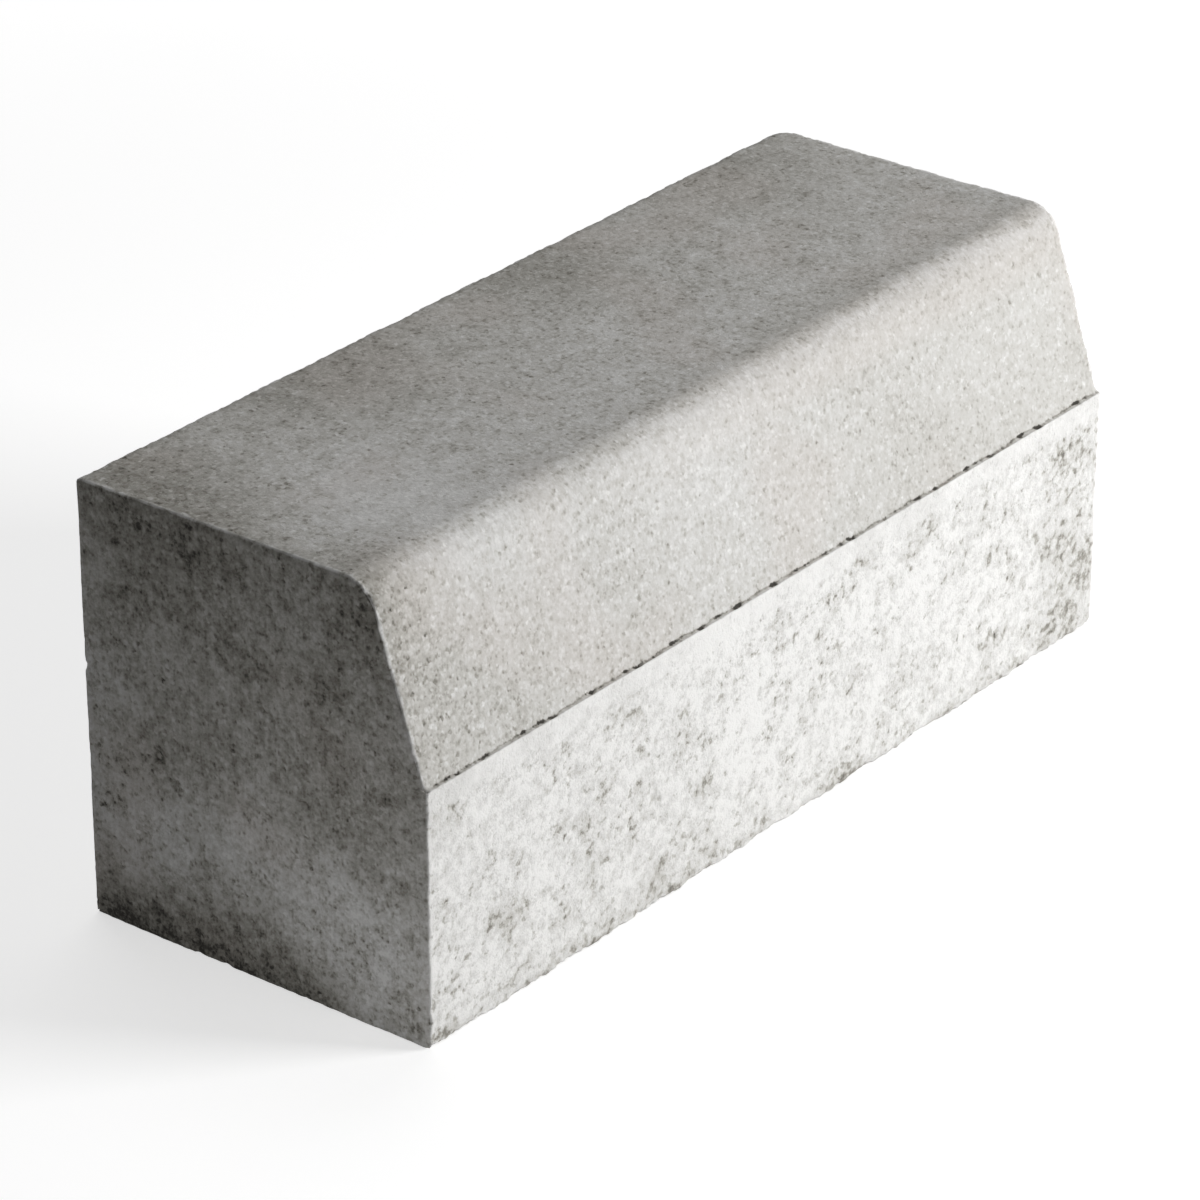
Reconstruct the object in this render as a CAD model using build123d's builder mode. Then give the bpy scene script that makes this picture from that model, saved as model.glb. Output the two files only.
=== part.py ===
from build123d import *
import os

# Kerb stone: one piece of cast concrete, laid on its bed and set end to end in a row.
# The road side is upright up to a seam, then leans back as a batter to a rounded top arris.
# Millimetres. Origin at the middle of the bed: +X along the row, -Y towards the road, +Z up.

# Overall block
length = 500.0
width = 190.0
height = 210.0

# Road side: seam between the coarse upright face and the fine batter above it
seam_height = 123.0
# How far the upright face stands out past the foot of the batter
seam_ledge = 3.0
# Height over which the foot of the batter flares out to the seam
seam_flare = 3.5
# How far the batter's line meets the top behind the upright face
batter_inset = 30.0
# Large rounding between batter and top
top_arris_radius = 18.0

# Small roundings that the mould leaves on the other arrises
back_arris_radius = 2.0
bed_arris_radius = 1.5
end_arris_radius = 1.0

road_side = -width / 2
back_side = width / 2

# Cross-section, drawn once and run along the whole stone
seam_arris = (road_side, seam_height)
batter_foot = (road_side + seam_ledge, seam_height + seam_flare)
batter_top = (road_side + batter_inset, height)
batter_fall = Vector(*batter_foot) - Vector(*batter_top)

with BuildPart() as kerb_stone:
    with BuildSketch(Plane.YZ) as section:
        with BuildLine() as outline:
            Polyline(
                seam_arris,
                (road_side, 0),
                (back_side, 0),
                (back_side, height),
                batter_top,
                batter_foot,
            )
            TangentArc(batter_foot, seam_arris, tangent=batter_fall)
        make_face()

        bed_corners = section.vertices().group_by(Axis.Y)[0]
        top_corners = section.vertices().group_by(Axis.Y)[-1].sort_by(Axis.X)
        fillet(top_corners[0], top_arris_radius)
        fillet(top_corners[-1], back_arris_radius)
        fillet(bed_corners, bed_arris_radius)
    extrude(amount=length / 2, both=True)

    # The rim of each end face, where the next stone of the row meets this one
    end_faces = kerb_stone.faces().filter_by(Axis.X)
    fillet(end_faces.edges(), end_arris_radius)

kerb_stone.part.label = "kerb_stone"

os.makedirs("parts", exist_ok=True)
export_step(kerb_stone.part, "parts/kerb_stone.step")
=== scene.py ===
"""Dresses the cast concrete kerb stone with relief and finish, in a plain studio."""

import math
from typing import NamedTuple

import bmesh
import bpy
from bpy.props import FloatProperty, FloatVectorProperty, IntProperty, PointerProperty
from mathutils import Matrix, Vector, noise


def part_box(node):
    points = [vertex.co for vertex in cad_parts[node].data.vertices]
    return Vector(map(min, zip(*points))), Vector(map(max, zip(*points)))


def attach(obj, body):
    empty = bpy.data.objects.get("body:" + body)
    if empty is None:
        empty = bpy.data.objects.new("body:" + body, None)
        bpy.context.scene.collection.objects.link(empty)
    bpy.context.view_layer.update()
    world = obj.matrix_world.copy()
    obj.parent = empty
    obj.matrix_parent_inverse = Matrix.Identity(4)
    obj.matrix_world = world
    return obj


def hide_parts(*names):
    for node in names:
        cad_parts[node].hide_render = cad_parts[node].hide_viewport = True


bl_info = {
    "name": "Kerb Stone",
    "version": (1, 0, 0),
    "blender": (4, 5, 0),
    "location": "View3D > Sidebar > Kerb",
    "description": "Models the relief and finish of a cast concrete kerb stone, and lights it",
    "category": "Add Mesh",
}

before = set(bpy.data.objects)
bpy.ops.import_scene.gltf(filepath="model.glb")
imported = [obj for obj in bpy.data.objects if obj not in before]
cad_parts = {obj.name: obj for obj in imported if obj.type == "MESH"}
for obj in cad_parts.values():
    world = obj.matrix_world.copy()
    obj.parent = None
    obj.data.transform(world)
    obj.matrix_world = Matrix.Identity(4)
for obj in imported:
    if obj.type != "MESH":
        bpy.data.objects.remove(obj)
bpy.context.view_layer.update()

NODE = "kerb_stone"
MM = 0.001
# A point of the plain block that is nearer to a face than this lies on it
ON_FACE = 1e-6


# Properties


def length(name, description, default):
    """A size in metres, shown in the scene's own length unit."""
    return FloatProperty(
        name=name,
        description=description,
        default=default,
        min=0,
        subtype="DISTANCE",
        unit="LENGTH",
    )


def colour(name, description, default):
    """A surface colour, as linear red, green and blue."""
    return FloatVectorProperty(
        name=name,
        description=description,
        default=default,
        size=3,
        min=0,
        max=1,
        subtype="COLOR",
    )


def amount(name, description, default):
    """A plain number."""
    return FloatProperty(name=name, description=description, default=default, min=0)


class KerbShape(bpy.types.PropertyGroup):
    """Section of the stone. Its overall size comes from the frame."""

    seam_height: length("Seam height", "Height of the seam above the bed", 123 * MM)
    seam_ledge: length(
        "Seam ledge", "How far the upright face stands out past the foot of the batter", 3 * MM
    )
    seam_flare: length(
        "Seam flare", "Height over which the foot of the batter flares out to the seam", 3.5 * MM
    )
    batter_inset: length("Batter inset", "How far the batter leans back by the top", 30 * MM)
    top_arris: length("Top arris radius", "Large rounding between batter and top", 18 * MM)
    back_arris: length("Back arris radius", "Rounding between top and back", 2 * MM)
    bed_arris: length("Bed arris radius", "Rounding along both sides of the bed", 1.5 * MM)
    end_arris: length("End arris radius", "Rounding round the rim of each end", 1 * MM)
    cell_long: length("Cell along the stone", "Mesh cell along the stone", 2.4 * MM)
    cell_deep: length("Cell across the stone", "Mesh cell from road side to back", 3.0 * MM)
    cell_high: length("Cell up the stone", "Mesh cell from bed to top", 2.5 * MM)


class KerbRelief(bpy.types.PropertyGroup):
    """Depths of the cast surface's relief, all of it cut into the block."""

    wave: length("Unevenness", "Slow unevenness of every face", 0.3 * MM)
    coarse: length("Coarse grain", "Depth of the grain on the coarse faces", 0.5 * MM)
    pit: length("Pits", "Depth of the larger pits on the coarse faces", 1.2 * MM)
    chip: length("Chips", "Depth of the crumbled spots along the arrises", 1.5 * MM)
    crevice: length("Seam crevice", "Depth of the broken groove along the seam", 1.1 * MM)
    seed: IntProperty(
        name="Seed", description="Moves every pattern of the relief", default=7, min=0
    )


class KerbFinish(bpy.types.PropertyGroup):
    """Colours of the concrete, from dark to light, and a tint for its sand."""

    # Also the colour that the painted shade in the seam's groove and along the near end's foot
    # darkens to
    pore_and_painted_shade: colour("Pores", "Inside of pores, pits and the seam", (0.061, 0.057, 0.05))
    # The painted shade on the near end, on the top and beside the top arris darkens towards this
    # colour too
    dark_paste_and_shade: colour("Damp paste", "Dark cement paste", (0.317, 0.303, 0.271))
    skin: colour("Fine skin", "Dense skin of the batter and the top", (0.553, 0.542, 0.513))
    # The lower road face sits between this colour and the next, lifted there by painted light
    coarse: colour("Dry paste", "Pale dry paste of the coarse faces", (0.67, 0.664, 0.648))
    # Also the top of the painted light that lifts the lower road face
    bloom_and_painted_light: colour(
        "Lime bloom", "Lime on the lower road face and along worn arrises", (0.80, 0.795, 0.78)
    )
    sand: colour("Warm sand", "Faint warm tint where sand shows", (0.60, 0.50, 0.45))


class KerbStudio(bpy.types.PropertyGroup):
    """Lamps, floor and camera."""

    key: amount("Key lamp", "Power of the soft lamp on the road side, in watts", 57)
    sky: amount("Overhead lamp", "Power of the soft lamp above and behind, in watts", 3.85)
    side: amount("Side lamp", "Power of the narrow lamp on the near end, in watts", 0.03)
    fill: amount("Surrounding light", "Strength of the even light from all round", 0.09)
    floor: colour("Floor", "Colour of the studio floor", (0.8, 0.8, 0.8))
    lens: amount("Lens", "Focal length of the camera, in millimetres", 161.4)


# Lattice of the stone


# Cells of the lattice where its lines close up: ends, arrises, top, seam and batter's foot
END_CELL = 0.6 * MM
ARRIS_CELL = 0.8 * MM
TOP_CELL = 1.4 * MM
SEAM_CELL = 0.6 * MM
FOOT_CELL = 0.7 * MM
# Places a little below the seam and above the foot, and the cells that have grown by there
BELOW_SEAM, BELOW_SEAM_CELL = 3 * MM, 1.0 * MM
ABOVE_FOOT, ABOVE_FOOT_CELL = 4 * MM, 1.4 * MM
# Bands in which the cells grow to their full size: beside an arris, and by the seam and the top
CLOSE_BAND = 6 * MM
WIDE_BAND = 10 * MM
# Rows of cells up the flare at the batter's foot
FLARE_ROWS = 6
# Cells in this band beside an arris or the seam are halved, unless they are already this short
HALVED_BAND = 2.6 * MM
SHORT_CELL = 1.5 * MM

# Pairs of faces whose arrises run along, across and up the stone
RUNS = (
    (("road", "bed"), ("back", "bed"), ("back", "top")),
    (("end", "bed"), ("end", "top")),
    (("end", "road"), ("end", "back")),
)
# How ragged each arris is, from 0 to 1, by the two faces that meet there
ARRISES = {
    frozenset(("road", "bed")): 0.8,
    frozenset(("back", "bed")): 0.8,
    frozenset(("end", "bed")): 0.15,
    frozenset(("end", "road")): 0.15,
    frozenset(("end", "batter")): 0.65,
    frozenset(("end", "top")): 0.3,
    frozenset(("end", "back")): 0.1,
    frozenset(("back", "top")): 0.45,
}
# Knocked-off corners: the end, side and level that they lie at, and how much of each arris is gone
CORNERS = [
    ((1, 1, 1), 6.5 * MM),
    ((1, -1, -1), 4.5 * MM),
    ((-1, -1, -1), 3.5 * MM),
    ((-1, 1, -1), 1.2 * MM),
    ((-1, 1, 1), 1.2 * MM),
    ((1, 1, -1), 4.0 * MM),
]


def graded(stops):
    """Grid lines through stops of (place, cell there), with cells that grow evenly between."""
    lines = [stops[0][0]]
    for (start, near), (end, far) in zip(stops, stops[1:]):
        count = max(1, round(2 * (end - start) / (near + far)))
        for step in range(1, count + 1):
            t = step / count
            grown = near * t + (far - near) * t * t / 2
            lines.append(start + (end - start) * grown / ((near + far) / 2))
    return lines


def banded(start, end, edge_cell, cell):
    """Grid lines from start to end, closer together in a band beside each."""
    return graded(
        [
            (start, edge_cell),
            (start + CLOSE_BAND, cell),
            (end - CLOSE_BAND, cell),
            (end, edge_cell),
        ]
    )


class Stone:
    """The stone's block and section, worked out once from the frame and the properties."""

    def __init__(self, shape):
        low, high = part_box(NODE)
        self.half = (high.x - low.x) / 2
        self.road, self.back = low.y, high.y
        self.width = high.y - low.y
        self.height = high.z
        self.shape = shape
        self.seam = shape.seam_height
        self.foot = shape.seam_height + shape.seam_flare
        self.section_corners = self.rounded_corners()

    def rounded_corners(self):
        """Each corner of the section: its arc's centre, two outward face normals and radius."""
        shape = self.shape
        up, down = Vector((0, 1)), Vector((0, -1))
        out, road = Vector((1, 0)), Vector((-1, 0))
        batter_run = shape.batter_inset - shape.seam_ledge
        slope = Vector((batter_run, self.height - self.foot)).normalized()
        batter = Vector((-slope.y, slope.x))
        top_front = Vector((self.road + shape.batter_inset, self.height))
        sharp = [
            (top_front, batter, up, shape.top_arris),
            (Vector((self.back, self.height)), out, up, shape.back_arris),
            (Vector((self.back, 0)), out, down, shape.bed_arris),
            (Vector((self.road, 0)), road, down, shape.bed_arris),
        ]
        corners = []
        for corner, one, two, radius in sharp:
            middle = (one + two).normalized()
            centre = corner - middle * (radius / middle.dot(one))
            corners.append((centre, one, two, radius))
        return corners

    def lines(self):
        """Grid lines along, across and up the block, closer at the arrises and the seam."""
        shape = self.shape
        along = banded(-self.half, self.half, END_CELL, shape.cell_long)
        across = banded(self.road, self.back, ARRIS_CELL, shape.cell_deep)
        below = graded(
            [
                (0, ARRIS_CELL),
                (CLOSE_BAND, shape.cell_high),
                (self.seam - WIDE_BAND, shape.cell_high),
                (self.seam - BELOW_SEAM, BELOW_SEAM_CELL),
                (self.seam, SEAM_CELL),
            ]
        )
        flare = [
            self.seam + shape.seam_flare * (1 - math.cos(row / FLARE_ROWS * math.pi / 2))
            for row in range(1, FLARE_ROWS)
        ]
        above = graded(
            [
                (self.foot, FOOT_CELL),
                (self.foot + ABOVE_FOOT, ABOVE_FOOT_CELL),
                (self.foot + WIDE_BAND, shape.cell_high),
                (self.height - WIDE_BAND, shape.cell_high),
                (self.height, TOP_CELL),
            ]
        )
        return along, across, below + flare + above

    def gaps(self, place):
        """Distance of a point of the plain block from each of its faces."""
        x, y, z = place
        return {
            "end": self.half - abs(x),
            "road": y - self.road,
            "back": self.back - y,
            "bed": z,
            "top": self.height - z,
        }

    def nearest_arris(self, place):
        """Distance from a point of the plain block to its nearest arris, and its raggedness."""
        gaps = self.gaps(place)
        if place.z > self.seam:
            gaps["batter"] = gaps.pop("road")
        order = sorted((gap, side) for side, gap in gaps.items())
        face = order[0][1]
        for gap, side in order[1:]:
            ragged = ARRISES.get(frozenset((face, side)))
            if ragged is not None:
                return gap, ragged
        return self.width, 0.0

    def corner(self, end, side, level):
        """A corner of the plain block, from which side of its middle it lies on each way."""
        y = self.back if side > 0 else self.road
        return Vector((end * self.half, y, self.height if level > 0 else 0.0))

    def onward(self, x, start, full):
        """0 before a place along the stone and 1 past another, as shares of half its length."""
        return smooth(x, start * self.half, full * self.half)

    def inset(self, z):
        """How far the road side lies behind the upright face at a height."""
        shape = self.shape
        if z <= self.seam:
            return 0.0
        if z <= self.foot:
            left = (self.foot - z) / shape.seam_flare
            return shape.seam_ledge * math.sqrt(max(0.0, 1 - left * left))
        share = (z - self.foot) / (self.height - self.foot)
        return shape.seam_ledge + share * (shape.batter_inset - shape.seam_ledge)

    def section_point(self, y, z):
        """Takes a point of the plain rectangle to the real section: batter, then corners."""
        share = (self.back - y) / self.width
        point = Vector((self.back - share * (self.width - self.inset(z)), z))
        for centre, one, two, _ in self.section_corners:
            arm = point - centre
            if one.cross(two) * one.cross(arm) > 0 and two.cross(one) * two.cross(arm) > 0:
                reach = arm.normalized()
                return centre + arm * max(reach.dot(one), reach.dot(two))
        return point

    def past_arris(self, place):
        """Distance over the surface from the middle of the large top arris, positive on top."""
        centre, batter, up, radius = self.section_corners[0]
        arm = Vector((place.y, place.z)) - centre
        half = radius * batter.angle(up) / 2
        if batter.cross(arm) > 0:
            return arm.dot(Vector((batter.y, -batter.x))) - half
        if up.cross(arm) < 0:
            return arm.x + half
        return radius * batter.angle(arm) - half

    def surface_point(self, x, y, z):
        """Takes a point of the plain block to the stone's surface, with its end rims rounded."""
        point = self.section_point(y, z)
        radius = self.shape.end_arris
        past = max(0.0, abs(x) - (self.half - radius))
        drop = radius - math.sqrt(max(0.0, radius * radius - past * past))
        middle_y, middle_z = (self.road + self.back) / 2, self.height / 2
        y = middle_y + (point.x - middle_y) * (1 - 2 * drop / self.width)
        z = middle_z + (point.y - middle_z) * (1 - 2 * drop / self.height)
        return Vector((x, y, z))


def stone_lattice(stone):
    """A closed box of quads, with grid lines where the stone's surface needs them."""
    axes = stone.lines()
    mesh = bmesh.new()
    bmesh.ops.create_cube(mesh, size=1)
    for axis, lines in enumerate(axes):
        parallel = [e for e in mesh.edges if abs((e.verts[0].co - e.verts[1].co)[axis]) > 0.5]
        cuts = len(lines) - 2
        bmesh.ops.subdivide_edges(mesh, edges=parallel, cuts=cuts, use_grid_fill=True)
    for vert in mesh.verts:
        vert.co = [
            lines[round((place + 0.5) * (len(lines) - 1))] for place, lines in zip(vert.co, axes)
        ]
    for axis in range(3):
        beside = arris_edges(stone, mesh, axis)
        bmesh.ops.subdivide_edges(mesh, edges=beside, cuts=1, use_grid_fill=True)
    return mesh


def arris_edges(stone, mesh, axis):
    """Edges that run one way beside an arris or the seam, where the relief needs short cells."""
    chosen = []
    for edge in mesh.edges:
        start, end = (vert.co for vert in edge.verts)
        along = abs((start - end)[axis])
        if along < SHORT_CELL or (start - end).length - along > ON_FACE:
            continue
        middle = (start + end) / 2
        gaps = stone.gaps(middle)
        beside = any(max(gaps[one], gaps[two]) < HALVED_BAND for one, two in RUNS[axis])
        above_seam = middle.z - stone.seam
        at_seam = (
            axis == 0
            and gaps["road"] < ON_FACE
            and -HALVED_BAND < above_seam < HALVED_BAND + stone.shape.seam_flare
        )
        if beside or at_seam:
            chosen.append(edge)
    return chosen


# Relief


def smooth(value, low, high):
    """0 below low, 1 above high and an even S between them."""
    t = min(1.0, max(0.0, (value - low) / (high - low)))
    return t * t * (3 - 2 * t)


def band(value, start, full, drop, end):
    """0 outside start and end, 1 between full and drop, and even between."""
    return smooth(value, start, full) * (1 - smooth(value, drop, end))


class Pattern(NamedTuple):
    """Even noise: the size of its lumps, its own shift, and the levels that its spots lie at."""

    size: float
    shift: int
    low: float = 0.0
    high: float = 1.0

    def level(self, relief, place):
        """The plain noise at a point, from 0 to 1."""
        shift = relief.seed + self.shift
        return 0.5 + 0.5 * noise.noise(place / self.size + Vector((shift, -shift, 2 * shift)))

    def spots(self, relief, place):
        """Only what stands out of the noise: 0 up to its low level, and 1 from its high one."""
        return smooth(self.level(relief, place), self.low, self.high)


WAVES = Pattern(38 * MM, 0)
CLUSTERS = Pattern(30 * MM, 3, 0.42, 0.66)
LUMPS = Pattern(7.5 * MM, 5)
SMALL_LUMPS = Pattern(4.6 * MM, 8)
HOLES = Pattern(5.5 * MM, 11, 0.66, 0.84)
CHIPS = Pattern(7 * MM, 17, 0.52, 0.70)
CRUMBS = Pattern(3.4 * MM, 19, 0.40, 0.62)
WORN_STRETCHES = Pattern(24 * MM, 29, 0.38, 0.72)
SEAM_DASHES = Pattern(6.5 * MM, 23, 0.48, 0.66)
SEAM_BEADS = Pattern(2.9 * MM, 27, 0.36, 0.60)
SAND_CLOUDS = Pattern(50 * MM, 41, 0.52, 0.75)

# How far from an arris the slow wear reaches
WEAR_REACH = 6 * MM
# The seam's groove: half its width, and how far from the seam it is worked out at all
GROOVE_WIDTH = 0.7 * MM
GROOVE_REACH = 4 * MM
# Distances from the near end between which the seam's broken line starts up
SEAM_START = (3 * MM, 14 * MM)
# Lengths of the slow and the quick wander of the broken line along the seam
SLOW_WANDER = 22 * MM
QUICK_WANDER = 7 * MM


def face_depth(relief, place, rough):
    """Depth of the cast surface away from its arrises. Rough is 0 on the fine skin."""
    depth = relief.wave * WAVES.level(relief, place)
    if rough > 0:
        cluster = CLUSTERS.spots(relief, place)
        lumps = 0.6 * LUMPS.level(relief, place) + 0.4 * SMALL_LUMPS.level(relief, place)
        depth += relief.coarse * rough * (0.35 + 0.65 * cluster) * lumps
        depth += relief.pit * rough * (0.2 + 0.8 * cluster) * HOLES.spots(relief, place)
    return depth


def arris_depth(relief, place, gap, ragged):
    """Extra depth along an arris: chips and crumbs at it, and slow wear round it."""
    reach = (1.0 + 2.0 * ragged) * MM
    chips = ragged * CHIPS.spots(relief, place)
    crumbs = 2.0 * (1.15 - ragged) * CRUMBS.spots(relief, place)
    depth = relief.chip * ragged * (0.75 * chips + crumbs) * (1 - smooth(gap, 0.0, reach))
    wear = 1.2 * relief.chip * ragged * ragged * WORN_STRETCHES.spots(relief, place)
    return depth + wear * (1 - smooth(gap, 0.0, WEAR_REACH))


def seam_crumb(stone, relief, x):
    """How broken the seam is at a place along the stone, from 0 to 1, and least at its start."""
    along = Vector((x, 0, 0))
    dash, bead = SEAM_DASHES.spots(relief, along), SEAM_BEADS.spots(relief, along)
    steady = 0.40 - 0.04 * stone.onward(x, -0.3, 0.4)
    grown = 0.2 + 0.65 * smooth(x + stone.half, *SEAM_START)
    grown += 0.15 * stone.onward(x, -0.8, -0.2)
    return (steady + (1 - steady) * dash * (0.6 + 0.4 * bead)) * grown


def seam_rise(stone, relief, place):
    """How far a point of the plain block lies above the seam's broken line, which wanders."""
    slow = noise.noise(Vector((place.x / SLOW_WANDER, relief.seed, 0)))
    quick = noise.noise(Vector((place.x / QUICK_WANDER, 0, relief.seed)))
    return place.z - stone.seam - (0.55 + 0.5 * slow + 0.35 * quick) * MM


def seam_depth(stone, relief, place):
    """Depth of the broken groove along the seam at a point of the plain block."""
    if place.y - stone.road > ON_FACE or abs(place.z - stone.seam) > GROOVE_REACH:
        return 0.0
    off = seam_rise(stone, relief, place) / GROOVE_WIDTH
    return relief.crevice * math.exp(-off * off) * seam_crumb(stone, relief, place.x)


def knocked_off(stone, place):
    """Moves a point in behind the softened cut of a knocked-off corner."""
    for sides, leg in CORNERS:
        corner = stone.corner(*sides)
        if (place - corner).length > 3 * leg:
            continue
        out = Vector(sides).normalized()
        past, soft = (place - corner).dot(out) + leg / math.sqrt(3), 0.45 * leg
        if past > -soft:
            place = place - out * (past if past > soft else (past + soft) ** 2 / (4 * soft))
    return place


# Marks that the finish reads from the mesh


# What each vertex carries for the finish
MARKS = (
    "coarse",
    "lower",
    "top",
    "arris",
    "rise",
    "crumb",
    "hollow",
    "patch",
    "warm",
    "sandy",
    "spotty",
)
# The rise of a point that lies nowhere near the seam, in millimetres
NO_SEAM = 99.0
# The smooth strip under the seam: where it starts to fade below the seam, and where it ends
STRIP_FADE, STRIP_END = 7 * MM, 15 * MM
# How much of the coarse relief that strip loses
STRIP_SMOOTH = 0.8
# Size of the slow light and dark clouds, and how much finer each of their octaves is
CLOUD_SIZE = 40 * MM
CLOUD_STEP = 2.1
# Heights between which the painted shade along the road face's foot fades, and size of its sway
PAINTED_SHADE_FOOT = (1 * MM, 11 * MM)
FOOT_SWAY = 18 * MM
# Sizes of the slow and the quick sway of the bands of painted light and shade beside the large top
# arris
SLOW_SWAY, QUICK_SWAY = 45 * MM, 14 * MM
# Those bands of painted light on the batter, painted shade on the top, and painted shade lower on
# the batter, by where each starts, is full, drops and ends past the middle of the arris
PAINTED_LIGHT_BATTER = (-60 * MM, -6 * MM, -2 * MM, 2 * MM)
PAINTED_SHADE_TOP = (-2 * MM, 2 * MM, 4 * MM, 30 * MM)
PAINTED_SHADE_BATTER = (-42 * MM, -16 * MM, -10 * MM, -4 * MM)
# Half the width of the painted highlight on the arris
HIGHLIGHT_WIDTH = 4 * MM
# The warm band beside the arris: its middle, and the distances from it between which it fades
WARM_MIDDLE = -6 * MM
WARM_FADE = (8 * MM, 24 * MM)
# Where the batter's finish turns into the top's, past the middle of the arris
TOP_START = (-5 * MM, 3 * MM)

# Stains on the lower road face, painted light and shade on the near end and the top, and lighter
# and darker patches on the batter: place and reach in millimetres, and strength, the dark ones
# below 0
STAINS_AND_PAINTED_LIGHT = [
    # Lower road face
    ((-205, -95, 46), 16, -0.9),
    ((-225, -95, 22), 40, -0.2),
    ((-97, -95, 12), 13, -1.6),
    ((-60, -95, 12), 10, -1.3),
    ((235, -95, 20), 50, -0.9),
    ((225, -95, 75), 45, -0.5),
    ((130, -95, 5), 60, -0.35),
    ((110, -95, 70), 60, 0.35),
    ((-10, -95, 60), 60, 0.5),
    ((-225, -95, 85), 45, 0.6),
    # Near end: painted light over the lower part, most towards the road side, and painted shade
    # over the upper part, along the foot and beside the road-side arris
    ((-250, -58, 36), 46, 1.3),
    ((-250, 0, 50), 50, 0.45),
    ((-250, 65, 50), 45, 0.65),
    ((-250, 95, 205), 80, -0.9),
    ((-250, 20, 205), 80, -1.9),
    ((-250, -60, 190), 60, -1.85),
    ((-250, -60, 105), 45, -1.6),
    ((-250, 20, 115), 60, -0.7),
    ((-250, -97, 75), 24, -0.5),
    ((-250, 90, -5), 40, -2.5),
    ((-250, 45, -5), 42, -2.7),
    ((-250, 0, -5), 38, -2.6),
    ((-250, -40, -5), 28, -2.3),
    # Batter
    ((-200, -85, 132), 50, -0.4),
    ((-150, -70, 175), 60, 0.4),
    ((-20, -75, 160), 100, 0.7),
    ((190, -70, 190), 60, 0.4),
    # Top: painted light towards the near end, and painted shade along the back
    ((-200, -20, 210), 80, 2.0),
    ((-60, -40, 210), 80, 0.3),
    ((-210, 95, 210), 60, -0.3),
    ((-100, 90, 210), 80, -1.4),
    ((40, 90, 210), 80, -1.4),
    ((190, 90, 210), 80, -1.1),
]
# Where the dark spots of the lower road face gather, and below 0 where they stay away
SPOTTY = [
    ((-225, -95, 30), 50, 1.3),
    ((-215, -95, 95), 55, -1.6),
    ((-20, -95, 85), 60, 0.3),
    ((40, -95, 15), 60, 0.4),
    ((170, -95, 60), 70, 0.4),
]


def cover(place, blots):
    """The sum of soft blots at a point."""
    value = 0.0
    for middle, reach, strength in blots:
        apart = (place - Vector(middle) * MM).length / (reach * MM)
        if apart < 2:
            value += strength * math.exp(-2 * apart * apart)
    return value


def sandiness(stone, place, patch, top):
    """How strongly the fine skin's grain shows: less where the top is darker, mostly by painted
    shade, and towards the far end.
    """
    on_top = (0.65 + 0.5 * smooth(patch, -1.0, 0.5)) * (1 - 0.12 * stone.onward(place.x, 0, 1))
    on_batter = 1.15 - 0.42 * stone.onward(place.x, -0.4, 0.8)
    return on_batter + top * (on_top - on_batter)


def clouds(relief, place, fade, octaves):
    """Slow irregular light and dark, about 0, with finer detail for a smaller fade."""
    start = Vector((relief.seed, 0, 0))
    return noise.fractal(place / CLOUD_SIZE + start, fade, CLOUD_STEP, octaves)


def coarse_tone_and_painted_shade(stone, relief, place):
    """Slow light and dark tone of the coarse faces, and painted shade along the road face's foot.
    """
    sway = noise.noise(place / FOOT_SWAY)
    on_road = 1 - smooth(place.y - stone.road, 2 * MM, 6 * MM)
    at_foot = 1 - smooth(place.z, *PAINTED_SHADE_FOOT)
    # Painted shade along the foot of the road face
    return 0.7 * clouds(relief, place, 0.35, 4) - on_road * (0.95 + 0.8 * sway) * at_foot


def fine_tone_and_painted_light(stone, relief, place):
    """Slow light and dark of the fine skin, most of it painted light and shade in bands beside the
    large top arris.
    """
    value = 0.3 * clouds(relief, place, 0.6, 3)
    sway = noise.noise(place / SLOW_SWAY) + 0.5 * noise.noise(place / QUICK_SWAY)
    far = stone.onward(place.x, -0.4, 0.5)
    past = stone.past_arris(place) + 4 * MM * sway - 3.5 * MM * far
    # Painted light on the batter below the arris, and painted shade on the top past it
    value += 0.25 * band(past, *PAINTED_LIGHT_BATTER)
    value -= (0.2 + 0.5 * stone.onward(place.x, -0.7, 0)) * band(past, *PAINTED_SHADE_TOP)
    # Towards the far end, a painted highlight on the arris and a band of painted shade under it
    line = 0.6 * math.exp(-((past / HIGHLIGHT_WIDTH) ** 2))
    dark_paste_and_shade = 0.5 * stone.onward(place.x, 0.2, 0.9) * band(past, *PAINTED_SHADE_BATTER)
    return value + far * (line - dark_paste_and_shade)


def warmth(stone, relief, place):
    """How warm the colour is, from 0 to 1: where sand shows in slow clouds, and in a band beside
    the far part of the arris.
    """
    beside = 1 - smooth(abs(stone.past_arris(place) - WARM_MIDDLE), *WARM_FADE)
    return max(SAND_CLOUDS.spots(relief, place), beside * stone.onward(place.x, -0.6, 0.2))


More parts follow.
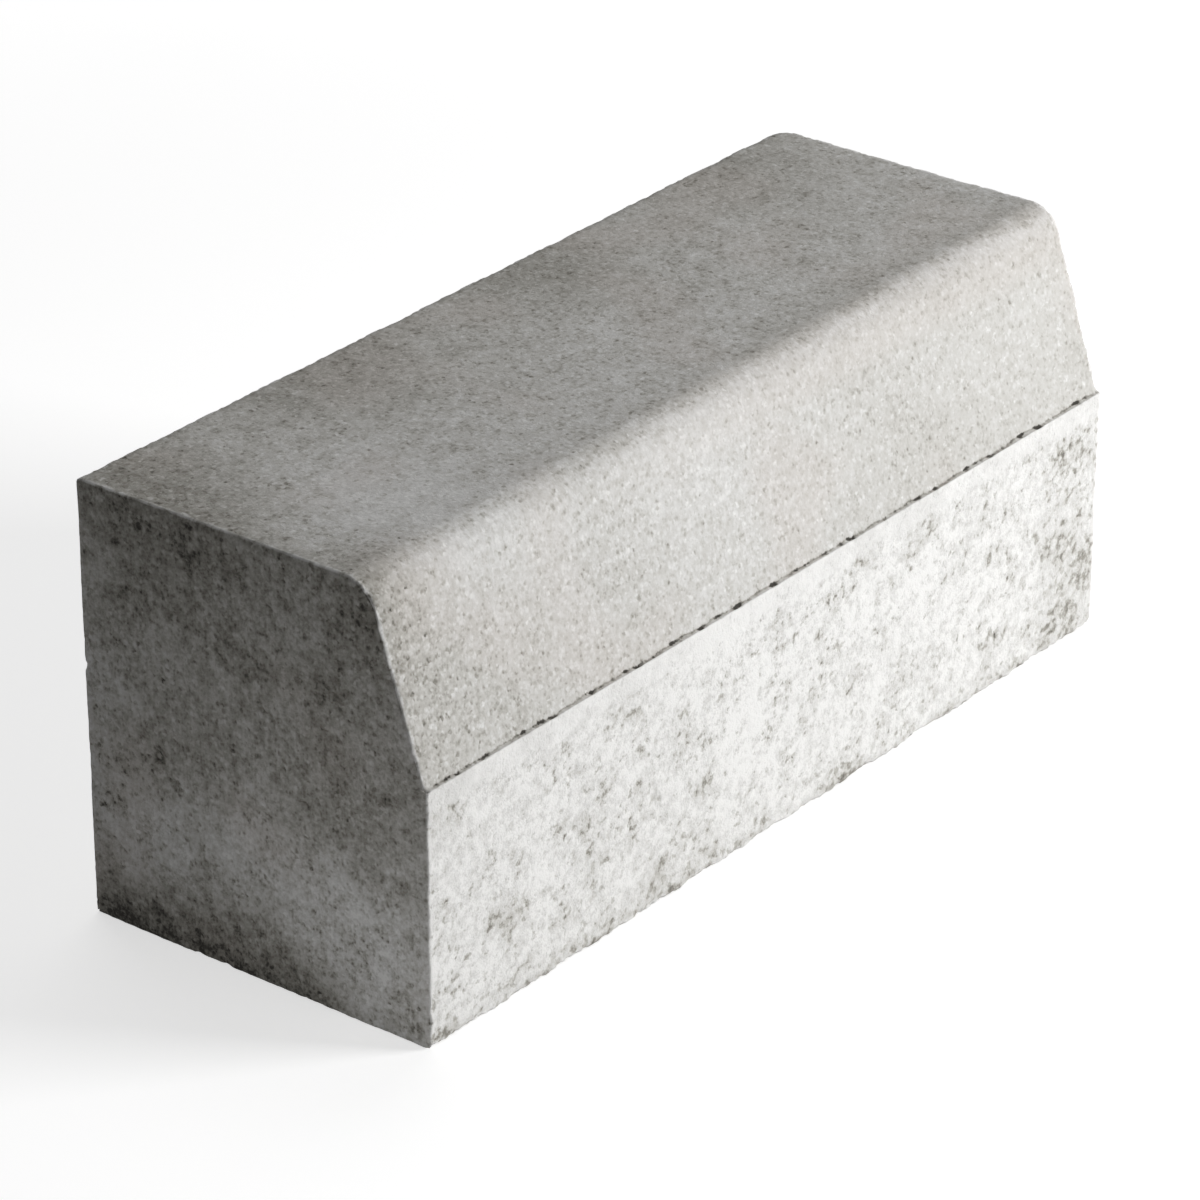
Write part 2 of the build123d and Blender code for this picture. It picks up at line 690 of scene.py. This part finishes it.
def cast_point(stone, relief, plain, place):
    """Depth of the relief at a point, and its marks, from its place on the plain block too."""
    gaps = stone.gaps(plain)
    at_end = gaps["end"] < ON_FACE
    on_road = gaps["road"] < ON_FACE and not at_end
    on_top = gaps["top"] < ON_FACE and not at_end
    fine = on_top or (on_road and plain.z > stone.seam)
    lower = on_road and not fine
    strip = 1 - smooth(stone.seam - plain.z, STRIP_FADE, STRIP_END) if lower else 0.0

    gap, ragged = stone.nearest_arris(plain)
    face = face_depth(relief, place, 0.0 if fine else 1 - STRIP_SMOOTH * strip)
    groove = 0.0 if at_end else seam_depth(stone, relief, plain)
    depth = face + arris_depth(relief, place, gap, ragged) + groove

    top = smooth(stone.past_arris(place), *TOP_START)
    # Slow tone, stains, and painted light and shade, darker below 0
    tone_and_light = fine_tone_and_painted_light if fine else coarse_tone_and_painted_shade
    patch = tone_and_light(stone, relief, place) + cover(place, STAINS_AND_PAINTED_LIGHT)
    marks = {
        "coarse": 0.0 if fine else 1.0,
        "lower": (1.0 if lower else 0.0) + strip,
        "top": top,
        "arris": gap / MM,
        "rise": seam_rise(stone, relief, plain) / MM if on_road else NO_SEAM,
        "crumb": seam_crumb(stone, relief, place.x),
        "hollow": (face - relief.wave) / MM,
        "patch": patch,
        "warm": 0.0 if lower else warmth(stone, relief, place),
        "sandy": sandiness(stone, place, patch, top),
        "spotty": cover(place, SPOTTY) if lower else 0.0,
    }
    return depth, marks


def cast_mesh(stone, relief):
    """The stone's whole surface as one closed mesh that carries the marks for its finish."""
    mesh = stone_lattice(stone)
    layers = {name: mesh.verts.layers.float.new(name) for name in MARKS}
    depths = []
    for vert in mesh.verts:
        plain = vert.co.copy()
        vert.co = place = stone.surface_point(*plain)
        depth, marks = cast_point(stone, relief, plain, place)
        depths.append(depth)
        for name, value in marks.items():
            vert[layers[name]] = value
    mesh.normal_update()
    for normal, vert, depth in [(v.normal.copy(), v, d) for v, d in zip(mesh.verts, depths)]:
        vert.co = knocked_off(stone, vert.co - normal * depth)
    bmesh.ops.recalc_face_normals(mesh, faces=mesh.faces)
    return mesh


# Finish


# Noises of the finish: size of the lumps, detail and roughness
SWAY = (5.5 * MM, 3.0, 0.85)
SPOTS = (3.6 * MM, 2.0, 0.65)
GRIT = (1.8 * MM, 1.0, 0.7)
GATHERING = (15 * MM, 2.0, 0.6)
# Sizes of the large and the small sand grains, and how strong the small ones are beside the large
LARGE_GRAIN, SMALL_GRAIN, SMALL_SHARE = 2.6 * MM, 1.7 * MM, 0.8
# Shade of each colour, from 0 for pores and the deepest painted shade to 1 for lime and the
# brightest painted light
SHADES = {"pore_and_painted_shade": 0.0, "dark_paste_and_shade": 0.25, "skin": 0.5, "coarse": 0.72, "bloom_and_painted_light": 1.0}
# Middle shades of the fine skin and of the coarse faces, the painted light that lifts the road
# face, and what the strip adds
FINE_SHADE, COARSE_SHADE, FRONT_PAINTED_LIGHT, STRIP_LIFT = 0.54, 0.52, 0.33, 0.05
# How far the painted shade in the broken groove along the seam darkens the shade
SEAM_SHADE_DROP = 0.62
# Where the gathered spots start to darken a coarse face, and where they are darkest
SPOT_START, SPOT_FULL = 0.55, 0.74
BUMP_HEIGHT = 0.5 * MM


def rgba(value):
    """An opaque colour."""
    return (*value, 1.0)


class Nodes:
    """A node tree that is built from plain calls."""

    def __init__(self, owner):
        owner.use_nodes = True
        self.tree = owner.node_tree
        self.tree.nodes.clear()

    def set(self, socket, value):
        """Gives a socket a number, a colour or another node's output."""
        if isinstance(value, bpy.types.NodeSocket):
            self.tree.links.new(value, socket)
        else:
            socket.default_value = value

    def node(self, kind, sockets=None, **settings):
        """Adds a node with its settings, and its sockets by name or place."""
        node = self.tree.nodes.new(kind)
        for name, value in settings.items():
            setattr(node, name, value)
        for name, value in (sockets or {}).items():
            self.set(node.inputs[name], value)
        return node

    def place(self):
        """The point on the object, in the object's own coordinates."""
        return self.node("ShaderNodeTexCoord").outputs["Object"]

    def attribute(self, name):
        """A number that the mesh carries at each vertex."""
        return self.node("ShaderNodeAttribute", attribute_name=name).outputs["Fac"]

    def noise(self, place, size, detail, roughness):
        """Noise from 0 to 1 with lumps of about a size in metres."""
        sockets = {"Vector": place, "Scale": 1 / size, "Detail": detail, "Roughness": roughness}
        return self.node("ShaderNodeTexNoise", sockets).outputs["Fac"]

    def swing(self, place, size, detail, roughness):
        """Noise about 0."""
        return self.calc("SUBTRACT", self.noise(place, size, detail, roughness), 0.5)

    def grains(self, place, size):
        """Soft dots of about a size in metres, darker or lighter by chance, from -1 to 1."""
        cell = {"Vector": place, "Scale": 1 / size}
        cells = self.node("ShaderNodeTexVoronoi", cell).outputs
        chance = self.calc("MULTIPLY_ADD", cells["Color"], 2.0, -1.0)
        return self.times(chance, self.spread(cells["Distance"], 0.25, 0.7, 1.0, 0.0))

    def spread(self, value, low, high, start=0.0, end=1.0):
        """Takes low to high smoothly to start to end, and holds it there outside."""
        sockets = {
            "Value": value,
            "From Min": low,
            "From Max": high,
            "To Min": start,
            "To Max": end,
        }
        node = self.node("ShaderNodeMapRange", sockets, interpolation_type="SMOOTHSTEP")
        return node.outputs["Result"]

    def between(self, share, one, two):
        """Goes smoothly from one number to another as a share goes from 0 to 1."""
        return self.spread(share, 0.0, 1.0, one, two)

    def calc(self, operation, *values):
        """One arithmetic step."""
        sockets = dict(enumerate(values))
        return self.node("ShaderNodeMath", sockets, operation=operation).outputs["Value"]

    def times(self, one, two):
        """The product of two numbers."""
        return self.calc("MULTIPLY", one, two)

    def total(self, *values):
        """The sum of several numbers."""
        result = values[0]
        for value in values[1:]:
            result = self.calc("ADD", result, value)
        return result

    def blend(self, share, one, two):
        """Blends two numbers by a share."""
        sockets = {"Factor": share, "A": one, "B": two}
        return self.node("ShaderNodeMix", sockets, data_type="FLOAT").outputs["Result"]

    def mix(self, share, one, two):
        """Blends two colours by a share."""
        sockets = {"Factor": share, 6: one, 7: two}
        return self.node("ShaderNodeMix", sockets, data_type="RGBA").outputs[2]

    def ramp(self, value, stops):
        """A colour between stops of (number, colour)."""
        node = self.node("ShaderNodeValToRGB", {"Fac": value})
        elements = node.color_ramp.elements
        for place, _ in stops[1:-1]:
            elements.new(place)
        for element, (place, tint) in zip(elements, stops):
            element.position, element.color = place, tint
        return node.outputs["Color"]

    def seen(self):
        """1 for rays from the camera, a gloss or through glass, and 0 for light on a surface."""
        path = self.node("ShaderNodeLightPath").outputs
        either = self.calc("MAXIMUM", path["Is Camera Ray"], path["Is Glossy Ray"])
        return self.calc("MAXIMUM", either, path["Is Transmission Ray"])


class Concrete(Nodes):
    """The stone's finish: the mesh's marks, patterns of several sizes, and what they make."""

    def __init__(self, owner):
        super().__init__(owner)
        place = self.place()
        self.marks = {name: self.attribute(name) for name in MARKS}
        self.front = self.spread(self.marks["lower"], 0.0, 1.0)
        self.strip = self.spread(self.marks["lower"], 1.0, 2.0)
        self.sway = self.swing(place, *SWAY)
        self.spots = self.noise(place, *SPOTS)
        self.grit = self.swing(place, *GRIT)
        small = self.times(self.grains(place, SMALL_GRAIN), SMALL_SHARE)
        self.sand = self.calc("ADD", self.grains(place, LARGE_GRAIN), small)
        self.cluster = self.swing(place, *GATHERING)
        self.gathered = self.total(
            self.spots,
            self.times(self.sway, 0.4),
            self.times(self.cluster, self.between(self.front, 0.35, 0.42)),
            self.times(self.marks["patch"], self.between(self.front, -0.02, -0.08)),
            self.times(self.marks["spotty"], 0.05),
        )

    def fine_shade(self):
        """Shade of the dense skin on the batter and the top, with its sandy grain."""
        top = self.marks["top"]
        sand_grain = self.total(
            self.times(self.sway, self.between(top, 0.50, 0.62)),
            self.times(self.cluster, self.between(top, 0.10, 0.45)),
            self.times(self.sand, self.between(top, 0.22, 0.25)),
        )
        return self.total(
            FINE_SHADE,
            self.times(sand_grain, self.marks["sandy"]),
            # Painted light and shade, with slow tone and stains
            self.times(self.marks["patch"], 0.14),
            self.spread(self.spots, 0.58, 0.76, 0.0, -0.20),
            self.spread(self.spots, 0.40, 0.24, 0.0, 0.28),
        )

    def coarse_shade(self):
        """Shade of the coarse faces, mottled all over and palest on the road side, which is
        painted light.
        """
        front, patch = self.front, self.marks["patch"]
        dark_spots = self.spread(self.gathered, SPOT_START, SPOT_FULL)
        mottled = self.total(
            self.times(self.sway, self.between(front, 1.2, 1.55)),
            self.times(self.cluster, self.between(front, -0.2, -0.4)),
            self.times(self.grit, self.between(front, 0.3, 0.5)),
            self.times(self.sand, self.between(front, 0.22, 0.10)),
            self.times(dark_spots, self.between(front, -0.22, -0.52)),
            self.spread(self.gathered, 0.42, 0.22, 0.0, 0.14),
            # Painted shade: darker where the relief is cut deeper into hollows and pits
            self.spread(self.marks["hollow"], 0.3, 1.2, 0.0, -0.22),
        )
        gain = self.spread(patch, -1.0, 1.5, 0.8, 1.6)
        return self.total(
            COARSE_SHADE,
            # Painted light that lifts the lower road face above the end, back and bed
            self.times(front, FRONT_PAINTED_LIGHT),
            self.times(self.strip, STRIP_LIFT),
            # Painted light and shade, with slow tone and stains
            self.times(patch, 0.16),
            self.times(mottled, self.times(self.between(self.strip, 1.0, 0.35), gain)),
        )

    def arris_wear(self):
        """How worn an arris is at a point, and how much paler the wear shows there."""
        ragged = self.calc("ADD", self.marks["arris"], self.times(self.sway, 7.0))
        worn = self.spread(ragged, 1.5, 3.0, 0.55, 0.0)
        on_fine = self.between(self.marks["coarse"], 1.0, 0.1)
        share = self.calc("MAXIMUM", on_fine, self.times(self.front, 0.5))
        between_spots = self.spread(self.spots, 0.64, 0.46, 0.3, 1.0)
        in_clusters = self.spread(self.cluster, -0.12, 0.06, 0.3, 1.0)
        return worn, self.times(share, self.times(between_spots, in_clusters))

    def seam_painted_shade(self):
        """Painted shade in the broken groove along the seam, from 0 to 1."""
        crumb = self.marks["crumb"]
        rise = self.calc("ADD", self.marks["rise"], self.times(self.sway, 1.5))
        off = self.calc("ABSOLUTE", rise)
        wide = self.times(crumb, self.spread(self.spots, 0.30, 0.62, 0.05, 0.42))
        inside = self.spread(self.calc("SUBTRACT", wide, off), -0.35, 0.1)
        return self.times(inside, self.spread(crumb, 0.05, 0.75))

    def shade(self):
        """The whole surface's shade, painted light and shade included, from 0 for pores to 1 for
        lime.
        """
        shade = self.blend(self.marks["coarse"], self.fine_shade(), self.coarse_shade())
        worn, paler = self.arris_wear()
        shade = self.calc("MULTIPLY_ADD", worn, paler, shade)
        # Painted shade in the seam's groove
        return self.calc("SUBTRACT", shade, self.times(self.seam_painted_shade(), SEAM_SHADE_DROP))

    def bump(self):
        """The normal with the finest mottle and spots, which the mesh is too coarse for."""
        depth = self.blend(self.marks["coarse"], 0.3, 0.7)
        spots = self.spread(self.gathered, SPOT_START, SPOT_FULL, 0.0, -0.6)
        height = self.times(self.total(self.times(self.sway, 2.0), spots), depth)
        sockets = {"Height": height, "Strength": 1.0, "Distance": BUMP_HEIGHT}
        return self.node("ShaderNodeBump", sockets).outputs["Normal"]


def concrete(tints):
    """Cast concrete: a dense fine skin on the batter and top, and coarse and mottled elsewhere."""
    material = bpy.data.materials.new("cast_concrete")
    f = Concrete(material)
    shade = f.shade()
    tone = f.ramp(shade, [(at, rgba(getattr(tints, name))) for name, at in SHADES.items()])
    sandy = f.times(f.marks["warm"], f.spread(shade, 0.0, 0.5, 0.0, 0.12))
    shader = f.node(
        "ShaderNodeBsdfPrincipled",
        {
            "Base Color": f.mix(sandy, tone, rgba(tints.sand)),
            "Roughness": f.spread(shade, 0.2, 0.8, 0.95, 0.82),
            "Normal": f.bump(),
            "Specular IOR Level": 0.2,
        },
    )
    f.node("ShaderNodeOutputMaterial", {"Surface": shader.outputs["BSDF"]})
    return material


class KERB_OT_cast_stone(bpy.types.Operator):
    """Models the stone's surface with its relief and gives it its finish"""

    bl_idname = "kerb.cast_stone"
    bl_label = "Cast Stone"

    def execute(self, context):
        scene = context.scene
        mesh = cast_mesh(Stone(scene.kerb_shape), scene.kerb_relief)
        data = bpy.data.meshes.new("kerb_stone_cast")
        mesh.to_mesh(data)
        mesh.free()
        data.shade_smooth()
        piece = bpy.data.objects.new("kerb_stone_cast", data)
        scene.collection.objects.link(piece)
        data.materials.append(concrete(scene.kerb_finish))
        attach(piece, "root")
        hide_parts(NODE)
        return {"FINISHED"}


# Studio


# Lamps: property that holds the power, place, point faced, size in metres, spread in degrees
LAMPS = {
    "key_lamp": ("key", (1.3, -1.9, 0.75), (0, 0, 0.1), 1.0, 180),
    "overhead_lamp": ("sky", (0.25, 0.45, 1.4), (0, 0, 0.1), 0.8, 180),
    "side_lamp": ("side", (-1.2, -0.4, 0.15), (-0.25, -0.085, 0.0), 0.2, 22),
}
# The camera's place, and the point that it faces
CAMERA_PLACE = (-1.7202, -1.3318, 1.1804)
CAMERA_AIM = (-0.0322, -0.0146, 0.1)
# How far the floor runs from its middle, in metres
FLOOR_REACH = 8
# Distances from the middle over which the floor's glow rises to white, and its glow before that
GLOW_START, GLOW_FULL, NEAR_GLOW = 0.6, 2.0, 0.62


def facing(place, aim):
    """The turn that makes a lamp or a camera face a point."""
    return (Vector(aim) - Vector(place)).to_track_quat("-Z", "Y").to_euler()


def floor_material(tint):
    """Pale floor that shows white to the camera and still takes the stone's shadow."""
    material = bpy.data.materials.new("studio_floor")
    f = Nodes(material)
    base = f.node("ShaderNodeBsdfDiffuse", {"Color": rgba(tint)})
    away = f.node("ShaderNodeVectorMath", {0: f.place()}, operation="LENGTH").outputs["Value"]
    strength = f.times(f.seen(), f.spread(away, GLOW_START, GLOW_FULL, NEAR_GLOW, 1.0))
    glow = f.node("ShaderNodeEmission", {"Strength": strength})
    surfaces = {0: base.outputs["BSDF"], 1: glow.outputs["Emission"]}
    both = f.node("ShaderNodeAddShader", surfaces).outputs[0]
    f.node("ShaderNodeOutputMaterial", {"Surface": both})
    return material


def studio_world(strength):
    """Even light all round, and plain white where the camera sees past the floor."""
    world = bpy.data.worlds.new("studio")
    f = Nodes(world)
    shown = f.node("ShaderNodeMapRange", {"Value": f.seen(), "To Min": strength, "To Max": 1.0})
    white = {"Color": (1, 1, 1, 1), "Strength": shown.outputs["Result"]}
    background = f.node("ShaderNodeBackground", white).outputs["Background"]
    f.node("ShaderNodeOutputWorld", {"Surface": background})
    return world


class KERB_OT_set_studio(bpy.types.Operator):
    """Sets the floor, the soft lamps and the camera round the stone"""

    bl_idname = "kerb.set_studio"
    bl_label = "Set Studio"

    def execute(self, context):
        scene, studio = context.scene, context.scene.kerb_studio
        mesh = bmesh.new()
        bmesh.ops.create_grid(mesh, x_segments=1, y_segments=1, size=FLOOR_REACH)
        data = bpy.data.meshes.new("studio_floor")
        mesh.to_mesh(data)
        mesh.free()
        floor = bpy.data.objects.new("studio_floor", data)
        scene.collection.objects.link(floor)
        data.materials.append(floor_material(studio.floor))

        for name, (power, place, aim, size, spread) in LAMPS.items():
            light = bpy.data.lights.new(name, "AREA")
            light.size, light.spread = size, math.radians(spread)
            light.energy = getattr(studio, power)
            lamp = bpy.data.objects.new(name, light)
            lamp.location, lamp.rotation_euler = place, facing(place, aim)
            scene.collection.objects.link(lamp)
        scene.world = studio_world(studio.fill)

        camera = bpy.data.objects.new("camera", bpy.data.cameras.new("camera"))
        camera.data.lens = studio.lens
        camera.location = CAMERA_PLACE
        camera.rotation_euler = facing(CAMERA_PLACE, CAMERA_AIM)
        scene.collection.objects.link(camera)
        scene.camera = camera
        scene.view_settings.view_transform = "Standard"
        return {"FINISHED"}


class KERB_PT_panel(bpy.types.Panel):
    """Lists the steps and sizes of the kerb stone"""

    bl_idname = "KERB_PT_panel"
    bl_label = "Kerb Stone"
    bl_space_type = "VIEW_3D"
    bl_region_type = "UI"
    bl_category = "Kerb"

    def draw(self, context):
        scene = context.scene
        for operator in (KERB_OT_cast_stone, KERB_OT_set_studio):
            self.layout.operator(operator.bl_idname)
        for group in (getattr(scene, name) for name in GROUPS):
            column = self.layout.column(align=True)
            for name in group.bl_rna.properties.keys():
                if name not in {"rna_type", "name"}:
                    column.prop(group, name)


GROUPS = {
    "kerb_shape": KerbShape,
    "kerb_relief": KerbRelief,
    "kerb_finish": KerbFinish,
    "kerb_studio": KerbStudio,
}
CLASSES = (*GROUPS.values(), KERB_OT_cast_stone, KERB_OT_set_studio, KERB_PT_panel)


def register():
    for cls in CLASSES:
        bpy.utils.register_class(cls)
    for name, group in GROUPS.items():
        setattr(bpy.types.Scene, name, PointerProperty(type=group))


def unregister():
    for name in GROUPS:
        delattr(bpy.types.Scene, name)
    for cls in reversed(CLASSES):
        bpy.utils.unregister_class(cls)


def main():
    register()
    bpy.ops.kerb.cast_stone()
    bpy.ops.kerb.set_studio()


if __name__ == "__main__":
    main()
